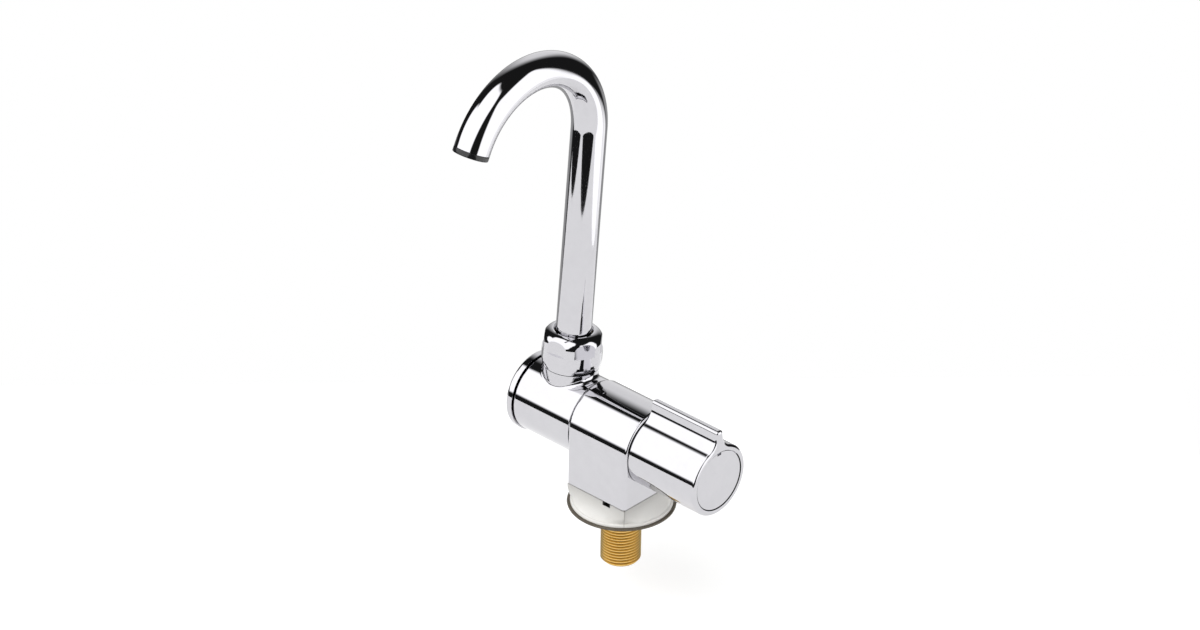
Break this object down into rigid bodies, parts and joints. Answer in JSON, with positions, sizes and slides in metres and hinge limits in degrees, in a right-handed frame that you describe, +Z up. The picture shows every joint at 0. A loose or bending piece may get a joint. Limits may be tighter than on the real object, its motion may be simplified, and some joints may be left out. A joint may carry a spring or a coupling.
{
  "type": "cold water tap",
  "caption": "Deck tap with a hooked spout that folds down and swivels, a finned round knob on a quarter-turn valve and a threaded tail.",
  "frame": {"origin": "shank axis at the deck plane, the underside of the gasket", "axes": "+Z up along the shank axis, +X along the body axis towards the knob, the outlet hangs over the -Y side at rest"},
  "size_m": [0.1012, 0.0867, 0.2295],
  "materials": {
    "chrome": "polished chrome plate",
    "thread_brass": "turned brass thread",
    "brass": "turned brass",
    "white_plastic": "moulded white plastic",
    "gasket_rubber": "dark grey-brown rubber",
    "black_rubber": "black seal rubber",
    "ceramic": "lapped ceramic",
    "steel": "stainless steel",
    "slip_plastic": "natural bearing plastic",
    "black_plastic": "black moulded plastic"
  },
  "bodies": {
    "tap_body": {"body_block": "chrome", "inlet_shank": "thread_brass", "base_foot": "white_plastic", "deck_gasket": "gasket_rubber", "seat_seal": "black_rubber", "fixed_disc": "ceramic", "cartridge_housing": "brass", "housing_oring": "black_rubber", "pivot_spigot": "brass", "pivot_orings": "black_rubber", "friction_washer": "slip_plastic", "pivot_washer": "steel", "pivot_screw": "steel", "fold_stop_pin": "steel"},
    "knob": {"knob_shell": "chrome", "knob_end_disc": "chrome", "knob_screw": "steel", "valve_spindle": "brass", "spindle_oring": "black_rubber", "spindle_clip": "steel", "moving_disc": "ceramic"},
    "spout_carrier": {"spout_carrier": "chrome", "rear_cap": "chrome", "collar_nut": "chrome", "swivel_ring": "slip_plastic"},
    "spout": {"spout_tube": "chrome", "spout_ferrule": "brass", "spout_orings": "black_rubber", "outlet_nozzle": "black_plastic", "flow_straightener": "black_plastic"}
  },
  "joints": [
    {"name": "knob_turn", "type": "hinge", "parent": "tap_body", "child": "knob", "pos_m": [0, 0, 0.03325], "axis": [1, 0, 0], "range_deg": [0, 90]},
    {"name": "spout_fold", "type": "hinge", "parent": "tap_body", "child": "spout_carrier", "pos_m": [0, 0, 0.03325], "axis": [1, 0, 0], "range_deg": [0, 94.6]},
    {"name": "spout_swivel", "type": "hinge", "parent": "spout_carrier", "child": "spout", "pos_m": [-0.03035, 0, 0.03325], "axis": [0, 0.0802, 0.9968], "continuous": true}
  ]
}
